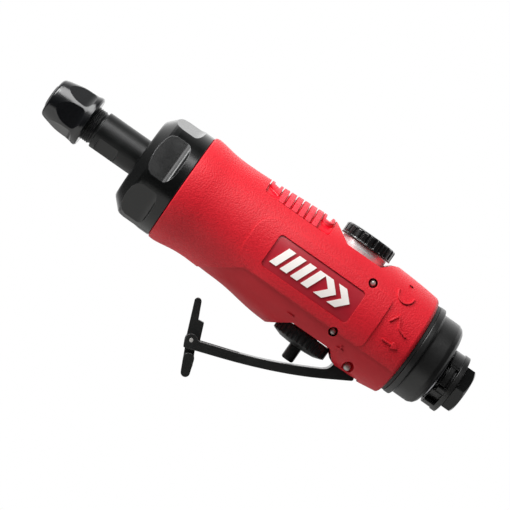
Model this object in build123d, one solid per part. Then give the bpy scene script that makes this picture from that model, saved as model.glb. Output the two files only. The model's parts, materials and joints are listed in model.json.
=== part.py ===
from build123d import *

import os
from math import cos, hypot, pi, radians, sin

# Straight air die grinder, millimetres. The spindle turns about X, the nose is at X = 0, the air inlet is at
# the +X end, +Z is the selector knob's side and -Z is the throttle lever's side.

# Driving dimensions
SHANK_BORE_R = 3.2            # 1/4 in collet
RUN = 0.05                    # radial clearance of a running fit
FIT = 0.03                    # radial gap between pieces of one body
NUT_X0, NUT_END = 0.5, 17.5   # the collet stands a little proud of its nut
NUT_R, NUT_RIM_R = 9.82, 10.3
NUT_HEX, NUT_FLAT_END = 17.46, 12.6      # 11/16 in across flats
THREAD_R, THREAD_DEPTH, THREAD_PITCH = 6.95, 0.4, 0.8
THREAD_END = 21.2
SPINDLE_R = 7.45
SPINDLE_FLATS, SPINDLE_FLAT_X0, SPINDLE_FLAT_X1 = 13.0, 24.8, 31.9
CLAMP_X0, CLAMP_X1, CLAMP_R = 40.5, 59.0, 21.8
CLAMP_FLATS, CLAMP_FLAT_END = 39.9, 52.2
CLAMP_WALL_X = 44.6
HOUSING_X0, HOUSING_R, HOUSING_BORE_R = 46.05, 16.6, 15.0
HOUSING_THREAD_R = 17.2
WEB_X = 108.6                 # front face of the valve block
FRONT_BEARING_X = 46.9
LINER_X0, LINER_X1 = 57.0, 97.0
LINER_BORE_R, LINER_OFFSET = 12.2, 1.3
ROTOR_R = 10.8
VANES = 5
REAR_BEARING_X = 99.6
VALVE_X = 127.8               # axis of the knob, the dial and the throttle stem
SPOOL_R, SPOOL_Z0 = 8.2, 4.0
KNOB_R, KNOB_Z0, KNOB_Z1 = 10.6, 20.9, 26.1
COLLAR_R, COLLAR_TOP = 10.0, 20.7
TOP_FLOOR, BOTTOM_FLOOR = 17.6, -17.5
DIAL_R, DIAL_TOP, DIAL_RIM, DIAL_END = 11.2, -18.0, -22.9, -24.3
SLEEVE_R = 6.4
STEM_R, STEM_END = 2.5, -30.3
UPPER_PIN = (136.4, 11.2)     # X, Z of the pin that holds the selector spool
LOWER_PIN = (134.6, -11.6)    # X, Z of the pin that holds the dial's sleeve
RETAINER_R, RETAINER_HALF = 1.2, 18.2
LEVER_PIVOT = (147.2, -19.3)
LEVER_PIN_R, LEVER_PIN_HALF = 1.5, 8.8
LEVER_HALF = 5.0              # half the lever's width
LATCH_PIVOT = (94.4, -44.4)
LATCH_PIN_R = 0.75
LATCH_HALF = 2.7
INLET_Z = -2.5                # the air inlet sits below the spindle axis
INLET_HEX = 17.46             # 11/16 in across flats
INLET_END = 188.7
INLET_BORE_R, INLET_BORE_X = 5.6, 175.5    # tapped 1/4 in NPT, and where it ends inside
SCREEN_R, SCREEN_X = 5.2, 173.0
BUSHING_R = 8.1
CAP_X0, CAP_X1, CAP_R, CAP_RIM_R = 163.6, 176.5, 17.3, 18.9
DEFLECTOR_X0, DEFLECTOR_X1, DEFLECTOR_R = 177.7, 183.9, 11.6

# Height of the grip's top and depth of its underside at stations along X
GRIP_STATIONS = (
    (59.0, 22.2, -21.95), (63.0, 22.35, -22.05), (68.0, 21.55, -21.25), (75.0, 21.15, -20.8),
    (83.0, 21.35, -21.15), (92.0, 21.85, -21.5), (101.0, 22.4, -22.7), (108.0, 22.75, -23.5),
    (115.0, 22.85, -23.7), (128.0, 22.6, -23.3), (141.0, 22.1, -22.7), (150.0, 21.65, -22.6),
    (157.0, 21.1, -22.0), (162.3, 20.5, -21.3),
)
PAD_X0, PAD_X1, PAD_HALF, PAD_RISE = 89.4, 146.2, 10.8, 0.6
BAND = ((73.2, -26.0), (94.4, -11.2), (164.0, -11.2), (164.0, -26.0))    # smooth underside, seen from the side
BAND_DEPTH = 0.4
BADGE_X0, BADGE_X1, BADGE_HALF = 98.5, 136.4, 6.8
THUMB_X0, THUMB_X1, THUMB_Z = 84.9, 113.5, 16.0
THUMB_DEPTH, THUMB_SKIN = 1.6, 1.0
RIBS, RIB_X0, RIB_PITCH, RIB_WIDTH = 6, 90.85, 2.95, 2.2
SIGN, SIGN_BAR = 3.0, 0.7      # length and breadth of the minus and plus beside the dial
SIDES = (-1, 1)

os.makedirs("parts", exist_ok=True)


def save(name, *solids):
    """Writes one node, made of one or more separate solids."""
    export_step(solids[0] if len(solids) == 1 else Compound(children=list(solids)), f"parts/{name}.step")


def bar_x(x0, x1, r, y=0.0, z=0.0):
    """Round bar along X."""
    return Pos(x0, y, z) * Rot(0, 90, 0) * Cylinder(r, x1 - x0, align=(Align.CENTER, Align.CENTER, Align.MIN))


def ring_x(x0, x1, outer, inner, y=0.0, z=0.0):
    return bar_x(x0, x1, outer, y, z) - bar_x(x0 - 1, x1 + 1, inner, y, z)


def bar_z(z0, z1, r, x=VALVE_X, y=0.0):
    """Round bar along Z, on the valve axis unless told otherwise."""
    return Pos(x, y, z0) * Cylinder(r, z1 - z0, align=(Align.CENTER, Align.CENTER, Align.MIN))


def ring_z(z0, z1, outer, inner):
    return bar_z(z0, z1, outer) - bar_z(z0 - 1, z1 + 1, inner)


def bar_y(x, z, r, half):
    """Round bar along Y, centred on the tool's middle plane."""
    return Pos(x, 0, z) * Rot(90, 0, 0) * Cylinder(r, 2 * half)


def block(x0, x1, y0, y1, z0, z1):
    return Pos((x0 + x1) / 2, (y0 + y1) / 2, (z0 + z1) / 2) * Box(x1 - x0, y1 - y0, z1 - z0)


def turned_x(*points):
    """Solid of revolution about the spindle axis from (x, radius) points."""
    return revolve(Plane.XZ * make_face(Polyline(*points, close=True)), Axis.X)


def turned_z(*points):
    """Solid of revolution about the valve axis from (radius, z) points."""
    return Pos(VALVE_X, 0, 0) * revolve(Plane.XZ * make_face(Polyline(*points, close=True)), Axis.Z)


def pin_y(x, z, r, half):
    """Cross pin along Y with domed ends."""
    pin = bar_y(x, z, r, half)
    return fillet(pin.edges().filter_by(GeomType.CIRCLE), 0.9 * r)


def slab_y(outline, y0, y1):
    """Plate with a side-view (x, z) outline, between y0 and y1."""
    plane = Plane(origin=(0, y1, 0), x_dir=(1, 0, 0), z_dir=(0, -1, 0))
    return extrude(plane * outline, y1 - y0)


def hex_x(x0, x1, flats, turn, z=0.0):
    """Hexagonal bar along X; turn is the direction of one flat, in degrees from +Y towards +Z."""
    sketch = RegularPolygon(flats / 2, 6, major_radius=False, rotation=turn + 30)
    return Pos(0, 0, z) * extrude(Plane.YZ.offset(x0) * sketch, x1 - x0)


def mill_flats(body, flats, x0, x1, cutter, turns, closed=False):
    """Cuts flats from x0 to x1, each ending in the cutter's curved run-out; a closed flat has one at x0 too."""
    floor, tall = flats / 2, 6.0
    path = Pos((x0 + x1) / 2, floor + tall / 2) * Rectangle(x1 - x0, tall)
    for x in (x0, x1) if closed else (x1,):
        path += Pos(x, floor + cutter) * Circle(cutter)
        path += Pos(x, floor + (cutter + tall) / 2) * Rectangle(2 * cutter, tall - cutter)
    for turn in turns:
        body -= Rot(turn, 0, 0) * slab_y(path, -14, 14)
    return body


def around_x(solid, count, start=0.0):
    return [Rot(start + 360 * i / count, 0, 0) * solid for i in range(count)]


def coil(radius, wire, length, turns):
    """Round-wire coil standing on the XY plane."""
    path = Helix(length / turns, length, radius)
    start = Plane(origin=path @ 0, z_dir=path % 0)
    return sweep(start * Circle(wire), path=path, is_frenet=True)


# Collet, nut and spindle

def collet():
    body = turned_x((0, 0), (0, 4.3), (0.4, 4.7), (1.6, 4.7), (3.8, 6.0), (8.0, 6.0), (21.0, 4.1), (21.0, 0))
    body -= bar_x(-1, 22, SHANK_BORE_R)
    for slit in around_x(block(-1, 15.5, 0, 8, -0.4, 0.4), 3):
        body -= slit
    return body


def collet_nut():
    front = Polyline((1.6, 4.9), (NUT_X0, 4.9), (NUT_X0, 6.4))
    nose = TangentArc((NUT_X0, 6.4), (1.9, 8.05), tangent=(0, 1))
    side = Spline((1.9, 8.05), (4.8, 8.82), (8.6, 9.62), (12.6, NUT_R), tangents=((1, 0.4), (1, 0.02)))
    rest = Polyline((12.6, NUT_R), (14.6, 9.9), (16.1, NUT_RIM_R), (16.9, NUT_RIM_R), (NUT_END, NUT_RIM_R - 0.6),
                    (NUT_END, THREAD_R + RUN), (7.0, THREAD_R + RUN), (5.6, 6.4), (4.0, 6.4), (1.6, 4.9))
    body = revolve(Plane.XZ * make_face([*front.edges(), nose, side, *rest.edges()]), Axis.X)
    return mill_flats(body, NUT_HEX, -1, NUT_FLAT_END, 3.0, [101 + 60 * i for i in range(6)])


def spindle():
    thread = []
    x = 8.4
    while x + THREAD_PITCH < THREAD_END:
        thread += [(x, THREAD_R), (x + THREAD_PITCH / 2, THREAD_R - THREAD_DEPTH)]
        x += THREAD_PITCH
    body = turned_x(
        (7.6, 0), (7.6, THREAD_R - 0.5), (8.1, THREAD_R), *thread, (x, THREAD_R), (THREAD_END, 6.4),
        (THREAD_END + 0.5, 6.4), (THREAD_END + 0.6, SPINDLE_R - 0.3), (THREAD_END + 0.9, SPINDLE_R),
        (45.6, SPINDLE_R), (45.6, 6.6), (FRONT_BEARING_X, 6.6), (FRONT_BEARING_X, 5.0), (57.2, 5.0),
        (57.2, 4.6), (70.0, 4.6), (70.5, 4.1), (70.5, 0))
    body -= turned_x((7.0, 0), (7.0, 6.07), (8.2, 6.07), (21.4, 4.14), (21.4, 3.4), (36.0, 3.4), (38, 0))
    return mill_flats(body, SPINDLE_FLATS, SPINDLE_FLAT_X0, SPINDLE_FLAT_X1, 1.0, (140, 320), closed=True)


def clamp_nut():
    body = turned_x((CLAMP_X0, 9.0), (CLAMP_X0, 16.4), (CLAMP_X0 + 0.5, 17.1), (44.7, 20.9), (45.6, 21.4),
                    (47.5, CLAMP_R), (CLAMP_X1 - 0.4, CLAMP_R), (CLAMP_X1, CLAMP_R - 0.4),
                    (CLAMP_X1, HOUSING_THREAD_R + FIT), (CLAMP_WALL_X, HOUSING_THREAD_R + FIT),
                    (CLAMP_WALL_X, 11.0), (42.4, 11.0), (42.4, 9.0))
    return mill_flats(body, CLAMP_FLATS, CLAMP_X0 - 2, CLAMP_FLAT_END, 3.2, [73.5 + 60 * i for i in range(6)])


# Motor

def bearing(x0, bore_r, outer_r, width, pitch_r, ball_r, balls):
    """Deep-groove bearing: outer race, inner race, balls and cage."""
    mid = x0 + width / 2
    groove = Pos(mid, 0, 0) * Rot(0, 90, 0) * Torus(pitch_r, ball_r + RUN)
    land = 0.72 * ball_r
    outer = ring_x(x0, x0 + width, outer_r, pitch_r + land) - groove
    inner = ring_x(x0, x0 + width, pitch_r - land, bore_r) - groove
    ball = Pos(mid, 0, pitch_r) * Sphere(ball_r)
    pocket = Pos(mid, 0, pitch_r) * Sphere(ball_r + RUN)
    cage = ring_x(mid - ball_r, mid + ball_r, pitch_r + 0.5, pitch_r - 0.5)
    for hole in around_x(pocket, balls):
        cage -= hole
    return outer, inner, around_x(ball, balls), cage


def front_end_plate():
    body = bar_x(44.7, 46.0, HOUSING_THREAD_R) + bar_x(46.0, LINER_X0, HOUSING_BORE_R - FIT)
    body -= bar_x(44, FRONT_BEARING_X + 8, 13.0 + FIT)
    body -= bar_x(44, LINER_X0 + 1, 6.5)
    return body - bar_x(55.4, LINER_X0 + 1, 1.0 + FIT, z=-12.9)


def cylinder_liner():
    body = bar_x(LINER_X0, LINER_X1, HOUSING_BORE_R - FIT)
    body -= bar_x(LINER_X0 - 1, LINER_X1 + 1, LINER_BORE_R, z=LINER_OFFSET)
    body -= bar_x(LINER_X0 - 1, LINER_X1 + 1, 1.0 + FIT, z=-12.9)
    for i in range(5):
        body -= Pos(64 + 6.5 * i, 0, 0) * Rot(90, 0, 0) * Cylinder(1.5, 40)
    return body


def rotor():
    body = bar_x(LINER_X0 + 0.3, LINER_X1 - 0.3, ROTOR_R) + bar_x(LINER_X1 - 1, 107.0, 4.0)
    body -= bar_x(LINER_X0, 71.5, 4.6 + FIT)
    for slot in around_x(block(LINER_X0, LINER_X1, -0.8, 0.8, 5.6, 12), VANES):
        body -= slot
    return body


def rear_end_plate():
    body = bar_x(LINER_X1, 107.2, HOUSING_BORE_R - FIT)
    body -= bar_x(REAR_BEARING_X, 108, 11.0 + FIT)
    body -= bar_x(LINER_X1 - 1, 108, 5.0)
    return body - bar_x(LINER_X1 - 1, 98.9, 1.0 + FIT, z=-12.9)


# Housing and grip

def motor_housing():
    body = bar_x(HOUSING_X0, 58.9, HOUSING_THREAD_R) + bar_x(58.9, 162.35, HOUSING_R)
    body += bar_z(14, 19.0, COLLAR_R) + bar_z(19.0, COLLAR_TOP, COLLAR_R - 0.5)
    body -= bar_x(HOUSING_X0 - 1, WEB_X, HOUSING_BORE_R)
    body -= bar_z(SPOOL_Z0, COLLAR_TOP + 1, SPOOL_R + RUN) + bar_z(-18, SPOOL_Z0 + 1, SLEEVE_R + RUN)
    for x, z in (UPPER_PIN, LOWER_PIN):
        body -= bar_y(x, z, RETAINER_R + FIT, 20)
    for y in (-12.6, 12.6):
        for z in (-3.2, 3.2):
            body -= bar_x(WEB_X - 1, 163, 2.4, y, z)
    chamber = ring_x(154.0, 163, HOUSING_R - 1.6, 2) - bar_x(153, 164, 9.6, z=INLET_Z)
    body -= chamber
    body -= bar_x(VALVE_X, 163, 3.5, z=-2.0) + bar_x(152.0, 163, BUSHING_R - 0.15 + FIT, z=INLET_Z)
    body -= bar_x(WEB_X - 1, 122, 1.3, z=-8.4) + bar_x(WEB_X - 1, 121, 2.0, z=7.2)
    return body - block(140.5, 153.8, -5.5, 5.5, -18, -14.8)


def grip_loft(grow=0.0):
    """The grip's outer form, grown or shrunk by a radial amount."""
    rings = []
    for x, top, bottom in GRIP_STATIONS:
        plane = Plane(origin=(x, 0, (top + bottom) / 2), x_dir=(0, 1, 0), z_dir=(1, 0, 0))
        rings.append(plane * Circle((top - bottom) / 2 + grow))
    return loft(rings)


def rounded_block(x0, x1, z0, z1, r):
    return Pos((x0 + x1) / 2, (z0 + z1) / 2) * RectangleRounded(x1 - x0, z1 - z0, r)


def pad_outline(shrink=0.0):
    """Side pad: square at the rear, one large round at the front."""
    front = rounded_block(PAD_X0 + shrink, PAD_X0 + 30, -PAD_HALF + shrink, PAD_HALF - shrink, 7.5)
    rear = rounded_block(PAD_X0 + 15, PAD_X1 - shrink, -PAD_HALF + shrink, PAD_HALF - shrink, 2.2)
    return front + rear


def marks_outline():
    """Raised signs beside the exhaust: a flow arrow, a bent line and an open arc."""
    signs = Pos(152.6, -3.4) * Rectangle(4.6, 0.5)
    signs += make_face(Polyline((154.6, -2.0), (157.4, -3.4), (154.6, -4.8), close=True))
    signs += make_face(Polyline((148.8, 3.6), (151.1, 7.6), (153.8, 3.2), (157.4, 2.0), (157.2, 1.5),
                                (153.4, 2.7), (151.1, 6.6), (149.2, 3.4), close=True))
    arc = Pos(149.2, 15.2) * (Circle(3.6) - Circle(3.1))
    return signs + (arc - Pos(149.2, 17.0) * Rectangle(8, 3.4))


def dial_signs():
    """Minus and plus beside the dial."""
    plus = Rectangle(SIGN, SIGN_BAR) + Rectangle(SIGN_BAR, SIGN)
    return Pos(118.4, -15.7) * Rectangle(SIGN, SIGN_BAR) + Pos(140.4, -15.7) * plus


def emblem_outline():
    """Generic white graphic: slanted bars that end in two chevrons."""
    lean = 1.7
    shapes = []
    for x, width in ((100.6, 3.0), (105.2, 3.0), (109.8, 3.0), (114.4, 3.0)):
        shapes.append(Polyline((x, -4.0), (x + width, -4.0), (x + width + 2 * lean, 4.0), (x + 2 * lean, 4.0),
                               close=True))
    for x in (120.0, 126.0):
        shapes.append(Polyline((x, -4.0), (x + 3.6, -4.0), (x + 7.4, 0), (x + 3.6, 4.0), (x, 4.0), (x + 3.8, 0),
                               close=True))
    faces = [make_face(shape) for shape in shapes]
    total = faces[0]
    for face in faces[1:]:
        total += face
    return total


def side_prism(outline, side):
    """A side-view outline carried outwards from near the axis to beyond the grip, on one side."""
    return slab_y(outline, -30, -8) if side < 0 else slab_y(outline, 8, 30)


def saddle(*points):
    """Cut right across the grip, with rounded corners where its floor begins and ends."""
    outline = make_face(Polyline(*points, close=True))
    floor = [v for v in outline.vertices() if abs(abs(v.Y) - abs(points[1][1])) < 0.01]
    return slab_y(fillet(floor, 1.8), -30, 30)


def grip_shell(form, raised, band_floor, badge_floor, thumb_floor):
    body = fillet(form.faces().sort_by(Axis.X)[-1].edges(), 2.3)
    body = chamfer(body.faces().sort_by(Axis.X)[0].edges(), 0.4)
    body -= slab_y(make_face(Polyline(*BAND, close=True)), -30, 30) - band_floor
    for side in SIDES:
        body += raised & side_prism(pad_outline(), side)
        body += raised & side_prism(marks_outline(), side)
        body += form & side_prism(dial_signs(), side)
    for side in SIDES:
        body -= side_prism(rounded_block(BADGE_X0, BADGE_X1, -BADGE_HALF, BADGE_HALF, 1.5), side) - badge_floor
    body -= thumb_block(0.0) - thumb_floor
    body -= saddle((110.5, 24.5), (120.9, TOP_FLOOR), (136.2, TOP_FLOOR), (140.0, 21.1), (143.2, 22.3),
                   (144.0, 24.5))
    body -= saddle((111.3, -24.5), (120.7, BOTTOM_FLOOR), (138.0, BOTTOM_FLOOR), (141.0, -20.6),
                   (145.4, -23.0), (146.0, -24.5))
    body -= bar_x(50, 170, HOUSING_R + FIT)
    body -= bar_z(10, 30, COLLAR_R + FIT) + bar_z(-30, -10, SLEEVE_R + 0.4)
    body -= bar_z(-30, DIAL_TOP + 0.4, DIAL_R + 0.5)
    for x, z in (UPPER_PIN, LOWER_PIN):
        body -= bar_y(x, z, 1.8, 30)
    body -= bar_y(*LEVER_PIVOT, LEVER_PIN_R + FIT, 30)
    body -= bar_y(*LEVER_PIVOT, 2.3, 30) - bar_y(*LEVER_PIVOT, 2.6, 7.6)
    return body - block(138.5, 153.8, -5.5, 5.5, -30, -14.8)


def thumb_block(shrink):
    """Region of the thumb pad on the grip's top."""
    outline = rounded_block(THUMB_X0 + shrink, THUMB_X1 - shrink, THUMB_Z + shrink, 40, 1.4)
    return slab_y(outline, -30, 30)


def thumb_pad(base, crest, thumb_floor):
    """Soft insert: a base skin with cross ribs, a broad arrowhead at the front and an oval at the rear."""
    body = (thumb_block(FIT) & base) - thumb_floor
    arrow = make_face(Polyline((85.5, -7.0), (90.2, -10.2), (90.2, 10.2), (85.5, 7.0), close=True))
    arrow -= make_face(Polyline((86.7, -5.6), (89.2, -7.4), (89.2, 7.4), (86.7, 5.6), close=True))
    oval = RectangleRounded(4.6, 21.0, 2.2) - RectangleRounded(2.6, 19.0, 1.2)
    raised = extrude(Plane.XY.offset(10) * (arrow + Pos(110.6, 0) * oval), 20)
    for i in range(RIBS):
        x = RIB_X0 + RIB_PITCH * i
        raised += block(x, x + RIB_WIDTH, -30, 30, THUMB_Z, 30)
    return body + ((thumb_block(FIT) & raised & crest) - thumb_floor)


def badge_plates(face, floor):
    outline = rounded_block(BADGE_X0 + FIT, BADGE_X1 - FIT, -BADGE_HALF + FIT, BADGE_HALF - FIT, 1.45)
    return [(side_prism(outline, side) & face) - floor for side in SIDES]


def badge_emblems(face, floor):
    solids = []
    for side in SIDES:
        solids += ((side_prism(emblem_outline(), side) & face) - floor).solids()
    return solids


# Valve group

def fluted(body, z0, z1, r, flutes, cut_r):
    """Cuts finger flutes into the rim of a knob."""
    for i in range(flutes):
        turn = 2 * pi * i / flutes
        body -= bar_z(z0, z1, cut_r, VALVE_X + r * cos(turn), r * sin(turn))
    return body


def selector_knob():
    body = turned_z((0, KNOB_Z0), (KNOB_R + 0.1, KNOB_Z0), (KNOB_R + 0.1, KNOB_Z0 + 0.6),
                    (KNOB_R, KNOB_Z0 + 0.6), (KNOB_R, 25.0), (KNOB_R - 0.6, 25.6), (7.0, KNOB_Z1 - 0.1),
                    (0, KNOB_Z1))
    body -= bar_z(20, 24.6, 5.0 + FIT)
    return fluted(body, KNOB_Z0 + 0.6, 30, KNOB_R + 0.25, 22, 0.75)


def selector_spool():
    body = bar_z(SPOOL_Z0 + 0.05, 20.6, SPOOL_R) + bar_z(20, 24.6, 5.0)
    body -= ring_z(UPPER_PIN[1] - 1.35, UPPER_PIN[1] + 1.35, SPOOL_R + 1, 7.25)
    body -= ring_z(15.9, 17.1, SPOOL_R + 1, 7.2)
    body -= bar_z(SPOOL_Z0 - 1, 8.9, 5.0)
    return body - bar_x(VALVE_X - 10, VALVE_X, 2.0, z=7.2)


def regulator_dial():
    body = turned_z((0, DIAL_TOP), (DIAL_R - 0.4, DIAL_TOP), (DIAL_R, DIAL_TOP - 0.4),
                    (DIAL_R, DIAL_RIM + 0.4), (DIAL_R - 0.6, DIAL_RIM), (7.5, DIAL_END + 0.35),
                    (4.0, DIAL_END), (0, DIAL_END))
    body = fluted(body, DIAL_END - 1, DIAL_TOP + 1, DIAL_R + 0.25, 30, 0.7)
    body += bar_z(DIAL_TOP - 0.1, -6.75, SLEEVE_R)
    body -= ring_z(LOWER_PIN[1] - 1.35, LOWER_PIN[1] + 1.35, SLEEVE_R + 1, 5.45)
    body -= ring_z(DIAL_TOP, -17.0, SLEEVE_R + 1, 5.3)
    body -= bar_z(-20.0, -6, 4.6)
    body -= bar_x(VALVE_X - 8, VALVE_X, 1.3, z=-8.4)
    return body - bar_z(-30, -10, STEM_R + RUN)


def stem_bushing():
    return ring_z(-19.95, -10.6, 4.6 - FIT, STEM_R + RUN)


def throttle_stem():
    body = bar_z(STEM_END, -12.0, STEM_R)
    body = fillet(body.edges().filter_by(GeomType.CIRCLE).sort_by(Axis.Z)[0], 0.9)
    body -= bar_z(-15.0, -11, 1.4 + FIT)
    return body - ring_z(-14.2, -13.1, STEM_R + 1, 2.0)


def throttle_valve():
    return bar_z(-14.9, -5.0, 1.4) + turned_z((0, -5.6), (3.2, -5.6), (4.4, -4.6), (4.4, -3.7), (0, -3.7))


# Lever and latch

def lever_outline():
    px, pz = LEVER_PIVOT
    qx, qz = LATCH_PIVOT
    top = Spline((97.2, -43.0), (102.7, -41.2), (117.6, -36.1), (132.6, -29.35), (139.8, -25.6))
    root = Spline((139.8, -25.6), (142.1, -23.7), (142.9, -20.6), tangents=((1, 0.52), (0.1, 1)))
    heel = Polyline((142.9, -20.6), (143.4, -18.4), (px - 2.6, pz + 2.8), (px, pz + 3.8), (px + 2.8, pz + 2.6),
                    (px + 4.2, -20.0), (152.2, -22.2), (151.8, -22.8))
    bottom = Spline((151.8, -22.8), (147.0, -25.6), (139.7, -29.75), (124.8, -36.9), (110.0, -42.65),
                    (98.4, -46.6), (94.5, -47.95))
    nose = Polyline((94.5, -47.95), (93.4, -48.15), (92.1, -45.4), (93.4, -42.5), (97.2, -43.0))
    outline = make_face([top, root, *heel.edges(), bottom, *nose.edges()])
    return outline + Pos(qx, qz) * Circle(2.4)


def throttle_lever():
    body = slab_y(lever_outline(), -LEVER_HALF, LEVER_HALF)
    body -= block(90, 112, -LATCH_HALF - 0.3, LATCH_HALF + 0.3, -55, -30)
    body -= block(143.2, 154, -2.5, 2.5, -21.6, -14)
    body -= bar_y(*LEVER_PIVOT, LEVER_PIN_R + RUN, 9)
    return body - bar_y(*LATCH_PIVOT, LATCH_PIN_R + FIT, 9)


def capsule(x0, z0, x1, z1, r0, r1):
    """Side-view outline of a tapering arm with round ends."""
    length = hypot(x1 - x0, z1 - z0)
    ux, uz = (x1 - x0) / length, (z1 - z0) / length
    spread = (r0 - r1) / length
    side = (1 - spread ** 2) ** 0.5
    corners = []
    for x, z, r, s in ((x0, z0, r0, 1), (x1, z1, r1, 1), (x1, z1, r1, -1), (x0, z0, r0, -1)):
        corners.append((x + r * (spread * ux - s * side * uz), z + r * (spread * uz + s * side * ux)))
    return make_face(Polyline(*corners, close=True)) + Pos(x0, z0) * Circle(r0) + Pos(x1, z1) * Circle(r1)


def safety_latch():
    qx, qz = LATCH_PIVOT
    hub = Pos(qx, qz) * Circle(2.5)
    arm = capsule(qx - 0.8, qz + 1.0, qx - 6.1, qz + 13.1, 1.7, 1.35)
    fin = make_face(Polyline((qx - 1.8, qz + 7.7), (qx + 0.3, qz + 7.9), (qx + 3.2, qz + 0.9), (qx - 1.5, qz),
                             close=True))
    neck = capsule(qx + 0.4, qz - 0.8, qx + 4.1, qz - 8.4, 1.9, 2.0)
    paddle = capsule(qx + 3.15, qz - 6.2, qx + 5.1, qz - 11.1, 2.1, 1.75)
    body = slab_y(hub + arm + fin + neck, -LATCH_HALF, LATCH_HALF)
    body += slab_y(paddle, -4.2, 4.2)
    body -= bar_y(qx, qz, LATCH_PIN_R + RUN, 9)
    return body - (Pos(qx, 1.9, qz) * Rot(90, 0, 0) * Cylinder(2.0, 1.7))


def latch_spring():
    qx, qz = LATCH_PIVOT
    return Pos(qx, 2.55, qz) * Rot(90, 0, 0) * coil(1.3, 0.2, 1.3, 3)


# Rear end

def exhaust_cap():
    body = turned_x((CAP_X0, 15.7), (CAP_X0, CAP_RIM_R - 0.3), (CAP_X0 + 0.3, CAP_RIM_R), (165.9, CAP_RIM_R),
                    (166.3, CAP_RIM_R - 0.4), (166.3, CAP_R + 0.5), (166.8, CAP_R), (CAP_X1 - 3.2, CAP_R),
                    (CAP_X1 - 1.5, CAP_R - 0.75), (CAP_X1 - 0.5, CAP_R - 2.0), (CAP_X1, CAP_R - 3.6),
                    (CAP_X1, 0), (174.6, 0), (174.6, 13.6), (173.0, 15.2), (172.0, 15.7))
    body -= bar_x(174, 178, BUSHING_R + FIT, z=INLET_Z)
    vents = ring_x(174, 178, 11.0, 9.7, z=INLET_Z)
    for wall in around_x(block(173, 179, -1.2, 1.2, 0, 20), 4, 45):
        vents -= Pos(0, 0, INLET_Z) * wall
    return body - vents


def inlet_bushing():
    body = bar_x(152.5, 162.6, BUSHING_R - 0.15, z=INLET_Z) + bar_x(162.6, 184.4, BUSHING_R, z=INLET_Z)
    tip = turned_x((184.4, 0), (184.4, 10.1), (INLET_END - 1.1, 10.1), (INLET_END, 8.4), (INLET_END, 0))
    body += hex_x(184.4, INLET_END, INLET_HEX, 90, INLET_Z) & (Pos(0, 0, INLET_Z) * tip)
    body -= ring_x(176.6, 177.4, 9, 7.5, z=INLET_Z) + ring_x(163.9, 165.3, 9, 7.3, z=INLET_Z)
    body -= bar_x(150, 190, 4.2, z=INLET_Z) + bar_x(SCREEN_X, 190, SCREEN_R, z=INLET_Z)
    body -= bar_x(INLET_BORE_X, 190, INLET_BORE_R, z=INLET_Z)
    mouth = turned_x((INLET_END - 0.8, 0), (INLET_END - 0.8, INLET_BORE_R), (INLET_END + 0.2, INLET_BORE_R + 1),
                     (INLET_END + 0.2, 0))
    return body - Pos(0, 0, INLET_Z) * mouth


def exhaust_deflector():
    body = ring_x(DEFLECTOR_X0, 184.2, 9.3, BUSHING_R + RUN) + ring_x(181.9, DEFLECTOR_X1, 12.0, 9)
    wall = ring_x(DEFLECTOR_X0, 182.2, DEFLECTOR_R, 10.0)
    for low, high in ((-28, 34), (-62, -30)):
        wall -= sector(low, high, 177, 181.9)
    body += wall + (ring_x(178.5, 180.8, 10.6, 9.6) & sector(-14, 36, 178, 181.2))
    for angle in (-29, 35, 100, 160, 220, 275):
        rib = block(DEFLECTOR_X0 + 0.3, 182.2, -10.9, -8.9, -0.8, 0.8)
        body += Rot(-angle, 0, 0) * rib
    body += Rot(24, 0, 0) * block(178.6, 182.2, -11.4, -8.9, -1.2, 1.2)
    return Pos(0, 0, INLET_Z) * body


def sector(low, high, x0, x1):
    """Wedge about X between two elevations seen from the side, on the -Y side."""
    reach = 20
    points = [(0, 0)]
    for i in range(7):
        a = radians(low + (high - low) * i / 6)
        points.append((-reach * cos(a), reach * sin(a)))
    return extrude(Plane.YZ.offset(x0) * make_face(Polyline(*points, close=True)), x1 - x0)


def muffler_felt():
    return bar_x(167.0, 174.2, 13.4) - bar_x(160, 180, 9.0, z=INLET_Z)


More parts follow.
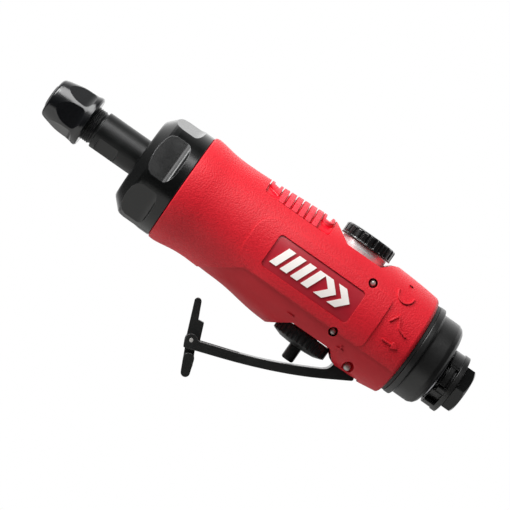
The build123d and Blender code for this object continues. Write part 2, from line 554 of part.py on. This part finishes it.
def main():
    save("collet", collet())
    save("collet_nut", collet_nut())
    save("spindle", spindle())
    save("clamp_nut", clamp_nut())
    save("spindle_dust_seal", ring_x(42.45, 44.5, 11.0 - FIT, SPINDLE_R + RUN))
    for name, spec in (("front", (FRONT_BEARING_X, 5.0, 13.0, 8.0, 9.0, 2.38, 7)),
                       ("rear", (REAR_BEARING_X, 4.0, 11.0, 7.0, 7.5, 1.98, 7))):
        outer, inner, balls, cage = bearing(*spec)
        save(f"{name}_bearing_outer", outer)
        save(f"{name}_bearing_inner", inner)
        save(f"{name}_bearing_balls", *balls)
        save(f"{name}_bearing_cage", cage)
    save("front_end_plate", front_end_plate())
    save("front_lock_ring", ring_x(44.75, FRONT_BEARING_X, 13.0, 10.9))
    save("cylinder_liner", cylinder_liner())
    save("liner_dowel", bar_x(55.45, 98.85, 1.0, z=-12.9))
    save("rotor", rotor())
    save("rotor_vanes", *around_x(block(LINER_X0 + 0.35, LINER_X1 - 0.35, -0.77, 0.77, 5.7, 10.75), VANES))
    save("rear_end_plate", rear_end_plate())
    save("preload_washer", ring_x(107.3, 108.5, 14.6, 11.6))
    save("motor_housing", motor_housing())

    form, raised = grip_loft(), grip_loft(PAD_RISE)
    badge_floor, badge_face, emblem_face = grip_loft(-0.9), grip_loft(0.1), grip_loft(PAD_RISE - 0.1)
    thumb_floor, thumb_base = grip_loft(-THUMB_DEPTH - THUMB_SKIN), grip_loft(-THUMB_DEPTH)
    save("grip_shell", grip_shell(form, raised, grip_loft(-BAND_DEPTH), badge_floor, thumb_floor))
    save("thumb_pad", thumb_pad(thumb_base, form, thumb_floor))
    save("badge_plates", *badge_plates(badge_face, badge_floor))
    save("badge_emblems", *badge_emblems(emblem_face, badge_face))

    save("retaining_pins", *[pin_y(x, z, RETAINER_R, RETAINER_HALF) for x, z in (UPPER_PIN, LOWER_PIN)])
    save("lever_pin", pin_y(*LEVER_PIVOT, LEVER_PIN_R, LEVER_PIN_HALF))
    save("selector_knob", selector_knob())
    save("selector_spool", selector_spool())
    save("selector_oring", Pos(VALVE_X, 0, 16.5) * Torus(7.7, 0.48))
    save("regulator_dial", regulator_dial())
    save("stem_bushing", stem_bushing())
    save("throttle_stem", throttle_stem())
    save("stem_oring", Pos(VALVE_X, 0, -13.65) * Torus(2.27, 0.25))
    save("throttle_valve", throttle_valve())
    save("valve_seat", ring_z(-6.65, -5.65, SLEEVE_R, 3.4))
    save("throttle_spring", Pos(VALVE_X, 0, -3.3) * coil(3.4, 0.35, 6.9, 3.5))
    save("throttle_lever", throttle_lever())
    save("latch_pin", bar_y(*LATCH_PIVOT, LATCH_PIN_R, LEVER_HALF))
    save("latch_spring", latch_spring())
    save("safety_latch", safety_latch())

    save("rear_gasket", ring_x(162.4, 163.55, 18.7, 15.9))
    save("exhaust_cap", exhaust_cap())
    save("muffler_felt", muffler_felt())
    save("inlet_bushing", inlet_bushing())
    save("inlet_oring", Pos(164.6, 0, INLET_Z) * Rot(0, 90, 0) * Torus(8.0, 0.6))
    save("inlet_screen", bar_x(SCREEN_X + 0.1, SCREEN_X + 1.1, SCREEN_R - FIT, z=INLET_Z))
    save("inlet_snap_ring", ring_x(176.65, 177.35, 9.4, 7.55, z=INLET_Z))
    save("exhaust_deflector", exhaust_deflector())


main()
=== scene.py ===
import json
import math

import bmesh
import bpy
import numpy as np
from mathutils import Matrix, Vector


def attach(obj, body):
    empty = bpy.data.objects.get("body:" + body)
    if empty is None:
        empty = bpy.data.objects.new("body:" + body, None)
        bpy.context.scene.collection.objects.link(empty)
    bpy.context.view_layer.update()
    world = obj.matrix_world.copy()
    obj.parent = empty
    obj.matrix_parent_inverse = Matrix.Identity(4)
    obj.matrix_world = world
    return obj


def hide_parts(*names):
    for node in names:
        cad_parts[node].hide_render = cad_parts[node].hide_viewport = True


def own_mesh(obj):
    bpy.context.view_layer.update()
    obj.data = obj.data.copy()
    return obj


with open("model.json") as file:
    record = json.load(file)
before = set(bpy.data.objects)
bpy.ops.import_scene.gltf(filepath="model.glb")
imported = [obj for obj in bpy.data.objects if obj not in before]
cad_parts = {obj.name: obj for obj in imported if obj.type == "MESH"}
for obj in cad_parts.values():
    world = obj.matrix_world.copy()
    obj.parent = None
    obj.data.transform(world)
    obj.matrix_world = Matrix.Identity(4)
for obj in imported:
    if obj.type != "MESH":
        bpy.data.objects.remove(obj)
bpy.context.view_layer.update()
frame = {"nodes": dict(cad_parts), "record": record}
NODES = frame["nodes"]
MM = 0.001

# Camera: beside the tool, level with its axis, rolled so that the nose points to the upper left
CAMERA_AT = Vector((69.5, -848.0, -5.0)) * MM
CAMERA_AIM = Vector((95.8, 0.0, -5.07)) * MM
CAMERA_ROLL = math.radians(35.05)
LENS = 160.9
SENSOR = 36.0

# Studio, in metres and watts
AREA_LIGHTS = {                          # place, point it faces, width and height, power
    "key": ((-0.216, -0.345, 0.484), (0.09, 0, 0), (0.62, 0.42), 6.4),
    "side": ((-0.483, -0.247, 0.28), (0.05, 0, 0), (0.12, 0.34), 2.4),
}
FRONT_GLOW, BACK_GLOW = 0.10, 2.40       # brightness of the room in front of the tool and behind it
LOW_SHARE = 0.06                         # how much of that is left towards the floor
ROOM_RAMPS = (                           # direction's axis, where the ramp starts and ends, glow at those ends
    ("Y", 0.0, 0.95, FRONT_GLOW, BACK_GLOW),
    ("Z", -0.5, 0.25, LOW_SHARE, 1.0),
)
FLOOR_AT = (0.095, 0.0, -0.26)
FLOOR_RADIUS = 0.40

# The grip, in mm
GRIP_STATIONS = (                        # X, height of the top, depth of the underside
    (59.0, 22.2, -21.95), (63.0, 22.35, -22.05), (68.0, 21.55, -21.25), (75.0, 21.15, -20.8),
    (83.0, 21.35, -21.15), (92.0, 21.85, -21.5), (101.0, 22.4, -22.7), (108.0, 22.75, -23.5),
    (115.0, 22.85, -23.7), (128.0, 22.6, -23.3), (141.0, 22.1, -22.7), (150.0, 21.65, -22.6),
    (157.0, 21.1, -22.0), (162.3, 20.5, -21.3),
)
BAND_FRONT = ((73.2, -26.0), (94.4, -11.2))      # X and Z of the sloping front edge of its smooth underside
BAND_FADE = 0.2                                  # half the width over which the grain fades out there
TOP_FADE_X, TOP_FADE_Z = (100.0, 112.0), (12.5, 16.5)    # where the grain thins out towards the knob
REST_BASE = ((85.0, 20.8), (113.0, 22.1))        # X and radius of the thumb rest's base, front and rear

# CAD node, piece name, body, material slot, voxel in mm, smoothing rounds
MOULDINGS = (
    ("thumb_pad", "thumb_rest", "housing", "red_gloss", 0.16, 3),
    ("throttle_lever", "lever_arm", "lever", "black_painted", 0.16, 4),
    ("safety_latch", "latch_arm", "latch", "black_painted", 0.13, 3),
    ("selector_knob", "knob_cap", "selector", "black_gloss_plastic", 0.14, 2),
    ("throttle_stem", "stem_tip", "throttle", "black_plastic", 0.14, 2),
    ("exhaust_cap", "rear_cap", "housing", "black_plastic", 0.22, 3),
    ("exhaust_deflector", "deflector_ring", "deflector", "black_plastic", 0.16, 3),
)
WELD = 2e-6                              # distance within which split vertices are joined, metres
SHARP_ANGLE = math.radians(32)
ON_FORM = 0.975                          # least cosine between a face and the form that it belongs to
EDGE_LEAN = (0.99, 0.86)                 # cosine of the rounded normal's lean where the edge tone starts and is full: wear on some parts, painted highlight on others


# ---------------------------------------------------------------- shader helpers

def set_range(node, *numbers):
    """Sets a Map Range node's ends: from low, from high, to low, to high."""
    for name, number in zip(("From Min", "From Max", "To Min", "To Max"), numbers):
        node.inputs[name].default_value = number


class Shader:
    """A material's node tree with short calls for the nodes that are used again and again."""

    def __init__(self, name):
        self.material = bpy.data.materials.new(name)
        self.material.use_nodes = True
        self.tree = self.material.node_tree
        self.bsdf = self.tree.nodes["Principled BSDF"]
        self.place = self.node("ShaderNodeTexCoord").outputs["Object"]

    def node(self, kind, **settings):
        made = self.tree.nodes.new(kind)
        for key, value in settings.items():
            setattr(made, key, value)
        return made

    def put(self, value, socket):
        if isinstance(value, bpy.types.NodeSocket):
            self.tree.links.new(value, socket)
        else:
            socket.default_value = value

    def noise(self, scale, detail=2.0, roughness=0.5, stretch=None, distortion=0.0):
        made = self.node("ShaderNodeTexNoise")
        made.inputs["Scale"].default_value = scale
        made.inputs["Detail"].default_value = detail
        made.inputs["Roughness"].default_value = roughness
        made.inputs["Distortion"].default_value = distortion
        self.put(self.stretched(stretch), made.inputs["Vector"])
        return made.outputs["Fac"]

    def stretched(self, stretch):
        if stretch is None:
            return self.place
        mapping = self.node("ShaderNodeMapping")
        mapping.inputs["Scale"].default_value = stretch
        self.put(self.place, mapping.inputs["Vector"])
        return mapping.outputs["Vector"]

    def cells(self, scale, feature="F1", smooth=None):
        made = self.node("ShaderNodeTexVoronoi", feature=feature)
        made.inputs["Scale"].default_value = scale
        if smooth is not None:
            made.inputs["Smoothness"].default_value = smooth
        self.put(self.place, made.inputs["Vector"])
        return made.outputs["Distance"]

    def ramp(self, value, low, high, out_low=0.0, out_high=1.0):
        made = self.node("ShaderNodeMapRange")
        made.clamp = True
        self.put(value, made.inputs["Value"])
        set_range(made, low, high, out_low, out_high)
        return made.outputs["Result"]

    def math(self, operation, a, b=0.5):
        made = self.node("ShaderNodeMath", operation=operation)
        self.put(a, made.inputs[0])
        self.put(b, made.inputs[1])
        return made.outputs[0]

    def mix(self, factor, a, b):
        made = self.node("ShaderNodeMix", data_type="RGBA")
        self.put(factor, made.inputs["Factor"])
        self.put(a, made.inputs["A"])
        self.put(b, made.inputs["B"])
        return made.outputs["Result"]

    def patchy(self, value, low=0.0, high=1.0):
        """The middle of a noise's range stretched to low..high, so that it reads as patches."""
        return self.ramp(value, 0.3, 0.7, low, high)

    def shades(self, patches, colour, dark, light):
        """The colour in patches of a darker and a lighter shade."""
        return self.mix(self.patchy(patches), scaled(colour, dark), scaled(colour, light))

    def edge_wear_and_highlight(self, body, wear, rim, where, share):
        """The body turned to another colour along its edges, in the places given: wear on some parts, a painted
        highlight on others.
        """
        edge_mask = self.math("MULTIPLY", self.edges(rim), where)
        return self.mix(self.math("MULTIPLY", edge_mask, share), body, wear)

    def rounded(self, radius):
        """Normal of the surface as if its edges had this radius."""
        bevel = self.node("ShaderNodeBevel", samples=6)
        bevel.inputs["Radius"].default_value = radius
        return bevel.outputs["Normal"]

    def edges(self, radius):
        """1 on edges and corners, 0 on open surface: how far a rounded normal leans from the true one."""
        geometry = self.node("ShaderNodeNewGeometry")
        dot = self.node("ShaderNodeVectorMath", operation="DOT_PRODUCT")
        self.put(self.rounded(radius), dot.inputs[0])
        self.put(geometry.outputs["Normal"], dot.inputs[1])
        return self.ramp(dot.outputs["Value"], *EDGE_LEAN)

    def axis(self, name):
        """One coordinate of the point in the part's own frame, metres."""
        split = self.node("ShaderNodeSeparateXYZ")
        self.put(self.place, split.inputs[0])
        return split.outputs[name]

    def bump(self, height, strength, distance, normal=None):
        made = self.node("ShaderNodeBump")
        made.inputs["Strength"].default_value = strength
        made.inputs["Distance"].default_value = distance
        self.put(height, made.inputs["Height"])
        if normal is not None:
            self.put(normal, made.inputs["Normal"])
        return made.outputs["Normal"]

    def finish(self, colour, rough, normal=None, **sockets):
        self.put(colour, self.bsdf.inputs["Base Color"])
        self.put(rough, self.bsdf.inputs["Roughness"])
        if normal is not None:
            self.put(normal, self.bsdf.inputs["Normal"])
        for name, value in sockets.items():
            self.put(value, self.bsdf.inputs[name.replace("_", " ")])
        return self.material


def rgb(red, green, blue):
    """Colour given as sRGB bytes, as linear RGBA."""
    def linear(v):
        v /= 255
        return v / 12.92 if v <= 0.04045 else ((v + 0.055) / 1.055) ** 2.4
    return (linear(red), linear(green), linear(blue), 1.0)


def scaled(colour, factor):
    return tuple(min(1.0, c * factor) for c in colour[:3]) + (1.0,)


# ---------------------------------------------------------------- materials

# Painted highlight: the paler red put along the grip's edges, standing in for light catching them.
PAINTED_RED_EDGE_HIGHLIGHT = rgb(240, 84, 92)
STEEL_EDGE = rgb(170, 172, 174)


def moulded(name, colour, rough, grain=0.0, grain_scale=900.0, wear=None, spread=0.12, soft=0.0, rim=0.0003,
            worn=0.7, **sockets):
    """Moulded plastic, rubber or painted metal: mottled colour, fine grain, and edges toned to wear where it is
    given, which is wear on the knob and partly a painted highlight on the lever and latch.
    """
    s = Shader(name)
    fine = s.noise(grain_scale, 3.0, 0.6)
    body = s.shades(s.noise(55.0, 4.0, 0.6), colour, 1 - spread, 1 + spread)
    if wear is not None:
        body = s.edge_wear_and_highlight(body, wear, rim, s.ramp(s.noise(520.0, 3.0), 0.40, 0.60), worn)
    gloss = s.math("ADD", s.patchy(s.noise(130.0, 5.0, 0.65), rough - 0.05, rough + 0.07),
                   s.ramp(fine, 0.2, 0.8, -0.03, 0.03))
    normal = s.bump(fine, grain, 0.00012, s.rounded(soft) if soft else None)
    return s.finish(body, gloss, normal, **sockets)


def leather_height(s):
    """The pebbles of a fine leather grain, and its height: small rounded pebbles with soft valleys."""
    pebbles = s.cells(1600.0, "SMOOTH_F1", 0.35)
    wobble = s.noise(2600.0, 3.0, 0.6)
    broad = s.noise(900.0, 2.0, 0.5)
    height = s.math("ADD", s.math("MULTIPLY", pebbles, -0.8), s.math("MULTIPLY", wobble, 0.5))
    return pebbles, s.math("ADD", height, s.math("MULTIPLY", broad, 0.25))


def grained_share(s):
    """How grained the mould was, 1 in full and less under the grip and around the knob; and 1 under the grip."""
    (x0, z0), (x1, top) = BAND_FRONT
    slope, fade = (top - z0) / (x1 - x0), BAND_FADE * MM
    front_edge = s.math("ADD", s.math("MULTIPLY", s.axis("X"), slope), (z0 - slope * x0) * MM)
    low = s.math("MULTIPLY", s.ramp(s.axis("Z"), top * MM + fade, top * MM - fade),
                 s.ramp(s.math("SUBTRACT", s.axis("Z"), front_edge), fade, -fade))
    near_knob = s.math("MULTIPLY", *(s.ramp(s.axis(side), ends[0] * MM, ends[1] * MM)
                                     for side, ends in (("Z", TOP_FADE_Z), ("X", TOP_FADE_X))))
    smooth = s.math("ADD", low, s.math("MULTIPLY", near_knob, 0.5))
    return s.ramp(smooth, 0.0, 1.0, 1.0, 0.15), low


def leather_red(name, colour):
    """Red composite, leather-grained on the grip's front and side pads, with painted shade on its smooth
    underside and a painted highlight along its edges.
    """
    s = Shader(name)
    pebbles, height = leather_height(s)
    share, low = grained_share(s)
    patches = s.noise(42.0, 4.0, 0.6)
    # Painted shade: the smooth underside is painted darker (0.76 to 0.86 of the colour against 0.93 to 1.07
    # above), standing in for the shade on its downward-facing side.
    body = s.mix(low, s.shades(patches, colour, 0.93, 1.07), s.shades(patches, colour, 0.76, 0.86))
    valley = s.math("MULTIPLY", s.ramp(pebbles, 0.25, 0.75, 0.0, 0.28), share)
    body = s.mix(valley, body, scaled(colour, 0.6))
    # Painted highlight: every edge of the grip, its pad and its signs turned paler red, standing in for light on
    # their rounded edges.
    body = s.edge_wear_and_highlight(body, PAINTED_RED_EDGE_HIGHLIGHT, 0.0003, 1.0, 0.35)
    gloss = s.patchy(s.noise(95.0, 4.0, 0.6), 0.42, 0.52)
    normal = s.bump(s.math("MULTIPLY", height, share), 0.8, 0.00016, s.rounded(0.00028))
    return s.finish(body, gloss, normal, Specular_IOR_Level=0.25)


def rib_red(name, base, rib):
    """Soft insert: glossy saturated base, paler grained ribs that stand proud of it."""
    s = Shader(name)
    across, tall = (s.math("MULTIPLY", s.axis(side), s.axis(side)) for side in "YZ")
    radius = s.math("SQRT", s.math("ADD", across, tall))
    (front_x, front_r), (rear_x, rear_r) = REST_BASE
    base_radius = s.ramp(s.axis("X"), front_x * MM, rear_x * MM, front_r * MM, rear_r * MM)
    proud = s.ramp(s.math("SUBTRACT", radius, base_radius), -0.0004, 0.0001)
    pebbles, height = leather_height(s)
    body = s.mix(proud, base, s.mix(s.ramp(pebbles, 0.2, 0.8), scaled(rib, 1.1), scaled(rib, 0.75)))
    gloss = s.math("ADD", s.ramp(proud, 0.0, 1.0, 0.34, 0.52), s.patchy(s.noise(140.0, 4.0), -0.04, 0.04))
    normal = s.bump(s.math("MULTIPLY", height, s.ramp(proud, 0.0, 1.0, 0.08, 1.0)), 0.7, 0.00022)
    return s.finish(body, gloss, normal, Specular_IOR_Level=0.3)


def machined(name, colour, rough, streak=(40.0, 900.0, 900.0), wear=None, metallic=1.0, spread=0.15, soft=0.0,
             worn=0.6, **sockets):
    """Turned or ground metal: faint tool marks, blotchy finish, bright worn edges where wear is given."""
    s = Shader(name)
    marks = s.noise(1.0, 3.0, 0.6, stretch=streak)
    patches = s.noise(90.0, 4.0, 0.6)
    body = s.shades(patches, colour, 1 - spread, 1 + spread)
    if wear is not None:
        body = s.edge_wear_and_highlight(body, wear, 0.00022, s.ramp(s.noise(300.0, 3.0), 0.30, 0.62), worn)
    gloss = s.math("ADD", s.patchy(patches, rough * 0.88, rough * 1.2),
                   s.patchy(marks, rough * -0.1, rough * 0.1))
    normal = s.bump(marks, 0.03, 0.00005, s.rounded(soft) if soft else None)
    return s.finish(body, gloss, normal, Metallic=metallic, **sockets)


def woven(name, colour):
    """Felt or gauze: matted short fibres."""
    s = Shader(name)
    fibres = s.noise(2600.0, 6.0, 0.8, distortion=1.4)
    body = s.mix(fibres, scaled(colour, 0.6), scaled(colour, 1.2))
    return s.finish(body, s.patchy(fibres, 0.85, 1.0), s.bump(fibres, 0.8, 0.0002))


def make_materials():
    """Every slot of the record: its kind of finish, its colour and its settings."""
    rows = {
        "red_composite": (leather_red, rgb(214, 33, 46), {}),
        "red_gloss": (rib_red, rgb(226, 10, 36), dict(rib=rgb(222, 52, 66))),
        "badge_red": (moulded, rgb(168, 26, 42), dict(rough=0.38, grain=0.06, grain_scale=2200.0, spread=0.05)),
        "badge_white": (moulded, rgb(250, 243, 238), dict(rough=0.42, grain=0.10, grain_scale=1800.0,
                                                          spread=0.03)),
        "black_oxide_gloss": (machined, rgb(12, 13, 15), dict(rough=0.20, wear=STEEL_EDGE, metallic=0.0,
                                                              soft=0.0003, worn=0.30, Specular_IOR_Level=0.6)),
        "black_oxide": (machined, rgb(10, 11, 11), dict(rough=0.21, wear=STEEL_EDGE, metallic=0.0, soft=0.0003,
                                                        worn=0.35, Specular_IOR_Level=0.4)),
        "satin_oxide": (machined, rgb(13, 14, 14), dict(rough=0.36, wear=rgb(120, 120, 120), metallic=0.0,
                                                        streak=(70.0, 700.0, 700.0), soft=0.0002, worn=0.5,
                                                        spread=0.3, Specular_IOR_Level=0.35)),
        "hardened_steel": (machined, rgb(84, 84, 87), dict(rough=0.24, soft=0.0002)),
        "ground_steel": (machined, rgb(186, 184, 180), dict(rough=0.34, metallic=0.35, soft=0.0002)),
        "bearing_steel": (machined, rgb(196, 197, 200), dict(rough=0.12)),
        "brass_cage": (machined, rgb(196, 160, 84), dict(rough=0.30)),
        "brass": (machined, rgb(204, 168, 92), dict(rough=0.26)),
        "spring_steel": (machined, rgb(150, 150, 154), dict(rough=0.28)),
        "bare_aluminium": (machined, rgb(238, 238, 238), dict(rough=0.30, streak=(900.0, 900.0, 30.0),
                                                              metallic=0.55)),
        # Painted highlight, in part: the pale edge colour of the lever and latch is patchy wear and also stands
        # in for light on their rounded top edges.
        "black_painted": (moulded, rgb(24, 25, 24), dict(rough=0.34, grain=0.30, grain_scale=1500.0,
                                                         wear=rgb(168, 168, 163), soft=0.0002, worn=0.6,
                                                         Specular_IOR_Level=0.6)),
        "black_plastic": (moulded, rgb(25, 25, 25), dict(rough=0.36, grain=0.20, grain_scale=1700.0, soft=0.0002,
                                                         Specular_IOR_Level=0.5)),
        "black_gloss_plastic": (moulded, rgb(14, 14, 15), dict(rough=0.24, grain=0.10, grain_scale=1500.0,
                                                               wear=rgb(222, 222, 219), soft=0.0002, rim=0.0004,
                                                               worn=0.95, Coat_Weight=0.3, Coat_Roughness=0.12)),
        "black_rubber": (moulded, rgb(22, 22, 22), dict(rough=0.55, grain=0.2)),
        "vane_composite": (moulded, rgb(120, 84, 48), dict(rough=0.55, grain=0.4)),
        "felt": (woven, rgb(150, 146, 136), {}),
        "screen_mesh": (woven, rgb(150, 150, 150), {}),
    }
    return {slot: kind(slot, colour, **settings) for slot, (kind, colour, settings) in rows.items()}


def dress(piece, material):
    """Gives the piece one material."""
    piece.data.materials.clear()
    piece.data.materials.append(material)


def dress_cad(materials):
    """Gives every CAD node the material of its slot in the record."""
    for row in frame["record"]["subparts"]:
        dress(NODES[row["node"]], materials[row["material_slot"]])


# ---------------------------------------------------------------- mesh pieces

def copy_mesh(node, name):
    """A CAD node's mesh as a new object with its split vertices joined again."""
    made = bpy.data.objects.new(name, NODES[node].data.copy())
    bpy.context.scene.collection.objects.link(made)
    grid = bmesh.new()
    grid.from_mesh(made.data)
    bmesh.ops.remove_doubles(grid, verts=grid.verts, dist=WELD)
    grid.to_mesh(made.data)
    grid.free()
    return made


def stand_in(piece, node, body, material):
    """Lets the piece take a CAD node's place on its body."""
    dress(piece, material)
    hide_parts(node)
    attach(piece, body)


def column(rows, attribute, width=1, kind=float):
    """One attribute of all of a mesh's rows, as an array."""
    values = np.empty(len(rows) * width, dtype=kind)
    rows.foreach_get(attribute, values)
    return values.reshape(-1, width) if width > 1 else values


def form_direction(points):
    """Outward direction of the grip's lofted form at each point, from its stations."""
    at, top, bottom = (np.array(column) for column in zip(*GRIP_STATIONS))
    middle, radius = (top + bottom) / 2, (top - bottom) / 2
    x = np.clip(points[:, 0] / MM, at[0], at[-1])
    y, z = points[:, 1] / MM, points[:, 2] / MM - np.interp(x, at, middle)
    reach = np.hypot(y, z) + 1e-9
    lean = np.interp(x, at, np.gradient(radius, at)) + np.interp(x, at, np.gradient(middle, at)) * z / reach
    out = np.stack([-lean, y / reach, z / reach], axis=1)
    return out / np.linalg.norm(out, axis=1)[:, None]


def exact_normals(piece):
    """Shades the grip's outer form by its true directions, so that long thin triangles don't show."""
    mesh = piece.data
    mesh.shade_smooth()
    mesh.set_sharp_from_angle(angle=SHARP_ANGLE)
    vertices = column(mesh.vertices, "co", 3)
    corners = column(mesh.loops, "vertex_index", kind=int)
    normals = column(mesh.corner_normals, "vector", 3)
    faces = mesh.polygons
    lean = np.einsum("ij,ij->i", column(faces, "normal", 3), form_direction(column(faces, "center", 3)))
    on_form = np.repeat(lean > ON_FORM, column(faces, "loop_total", kind=int))
    normals[on_form] = form_direction(vertices[corners[on_form]])
    mesh.normals_split_custom_set(normals.tolist())


def make_grip(materials):
    """The grip's own mesh with exact normals; its edges are rounded in the material."""
    piece = copy_mesh("grip_shell", "grip")
    exact_normals(piece)
    stand_in(piece, "grip_shell", "housing", materials["red_composite"])


def make_valve_spring(materials):
    """The throttle's spring as its own mesh on the housing; the real one shortens as the valve rises, which this
    piece does not.
    """
    piece = copy_mesh("throttle_spring", "valve_spring")
    stand_in(piece, "throttle_spring", "housing", materials["spring_steel"])
    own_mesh(piece)


def bake_modifiers(piece):
    """Replaces the piece's mesh with its evaluated one and drops the modifiers."""
    graph = bpy.context.evaluated_depsgraph_get()
    mesh = bpy.data.meshes.new_from_object(piece.evaluated_get(graph))
    piece.modifiers.clear()
    piece.data = mesh


def soften(materials, node, name, body, slot, voxel, rounds):
    """A moulded piece: the CAD form remeshed finely, with its sharp edges rounded off."""
    piece = copy_mesh(node, name)
    remesh = piece.modifiers.new("remesh", "REMESH")
    remesh.mode = "VOXEL"
    remesh.voxel_size = voxel * MM * 1.0
    smooth = piece.modifiers.new("smooth", "SMOOTH")
    smooth.factor = 0.5
    smooth.iterations = rounds
    bake_modifiers(piece)
    piece.data.shade_smooth()
    stand_in(piece, node, body, materials[slot])


# ---------------------------------------------------------------- studio

def make_camera():
    data = bpy.data.cameras.new("camera")
    data.lens = LENS
    data.sensor_width = SENSOR
    data.clip_start = 0.05
    data.clip_end = 20.0
    camera = bpy.data.objects.new("camera", data)
    bpy.context.scene.collection.objects.link(camera)
    forward = (CAMERA_AIM - CAMERA_AT).normalized()
    right = forward.cross(Vector((0, 0, 1))).normalized()
    up = right.cross(forward)
    turned_right = right * math.cos(CAMERA_ROLL) + up * math.sin(CAMERA_ROLL)
    turned_up = turned_right.cross(forward)
    turn = Matrix((turned_right, turned_up, -forward)).transposed().to_4x4()
    camera.matrix_world = Matrix.Translation(CAMERA_AT) @ turn
    bpy.context.scene.camera = camera


def area_light(name, place, aim, size, power):
    data = bpy.data.lights.new(name, "AREA")
    data.shape = "RECTANGLE"
    data.size, data.size_y = size
    data.energy = power
    lamp = bpy.data.objects.new(name, data)
    bpy.context.scene.collection.objects.link(lamp)
    lamp.location = place
    lamp.rotation_mode = "QUATERNION"
    lamp.rotation_quaternion = (Vector(aim) - Vector(place)).to_track_quat("-Z", "Y")


def make_world():
    """White to the camera; for light, a bright backdrop behind the tool and a dim room in front of it."""
    world = bpy.data.worlds.new("studio")
    bpy.context.scene.world = world
    world.use_nodes = True
    tree = world.node_tree
    nodes, links = tree.nodes, tree.links
    nodes.clear()
    out = nodes.new("ShaderNodeOutputWorld")
    mix = nodes.new("ShaderNodeMixShader")
    seen = nodes.new("ShaderNodeBackground")
    seen.inputs["Color"].default_value = (1, 1, 1, 1)
    room = nodes.new("ShaderNodeBackground")
    coordinates = nodes.new("ShaderNodeTexCoord")
    split = nodes.new("ShaderNodeSeparateXYZ")
    glow = nodes.new("ShaderNodeMath")
    glow.operation = "MULTIPLY"
    path = nodes.new("ShaderNodeLightPath")
    links.new(coordinates.outputs["Generated"], split.inputs[0])
    for (side, *ends), factor in zip(ROOM_RAMPS, glow.inputs):
        ramp = nodes.new("ShaderNodeMapRange")
        set_range(ramp, *ends)
        links.new(split.outputs[side], ramp.inputs["Value"])
        links.new(ramp.outputs["Result"], factor)
    links.new(glow.outputs[0], room.inputs["Strength"])
    links.new(path.outputs["Is Camera Ray"], mix.inputs["Fac"])
    links.new(room.outputs[0], mix.inputs[1])
    links.new(seen.outputs[0], mix.inputs[2])
    links.new(mix.outputs[0], out.inputs["Surface"])


def make_floor():
    """Plain pale round floor well below the tool, which its inlet fitting holds up."""
    shape = bmesh.new()
    bmesh.ops.create_circle(shape, cap_ends=True, segments=96, radius=FLOOR_RADIUS)
    mesh = bpy.data.meshes.new("floor")
    shape.to_mesh(mesh)
    shape.free()
    floor = bpy.data.objects.new("floor", mesh)
    floor.location = FLOOR_AT
    bpy.context.scene.collection.objects.link(floor)
    dress(floor, moulded("floor_paper", rgb(210, 210, 208), 0.8, grain=0.05, spread=0.01))


def main():
    bpy.context.scene.view_settings.view_transform = "Standard"
    make_camera()
    make_world()
    make_floor()
    for name, settings in AREA_LIGHTS.items():
        area_light(name, *settings)

    materials = make_materials()
    dress_cad(materials)
    make_grip(materials)
    make_valve_spring(materials)
    for row in MOULDINGS:
        soften(materials, *row)


main()
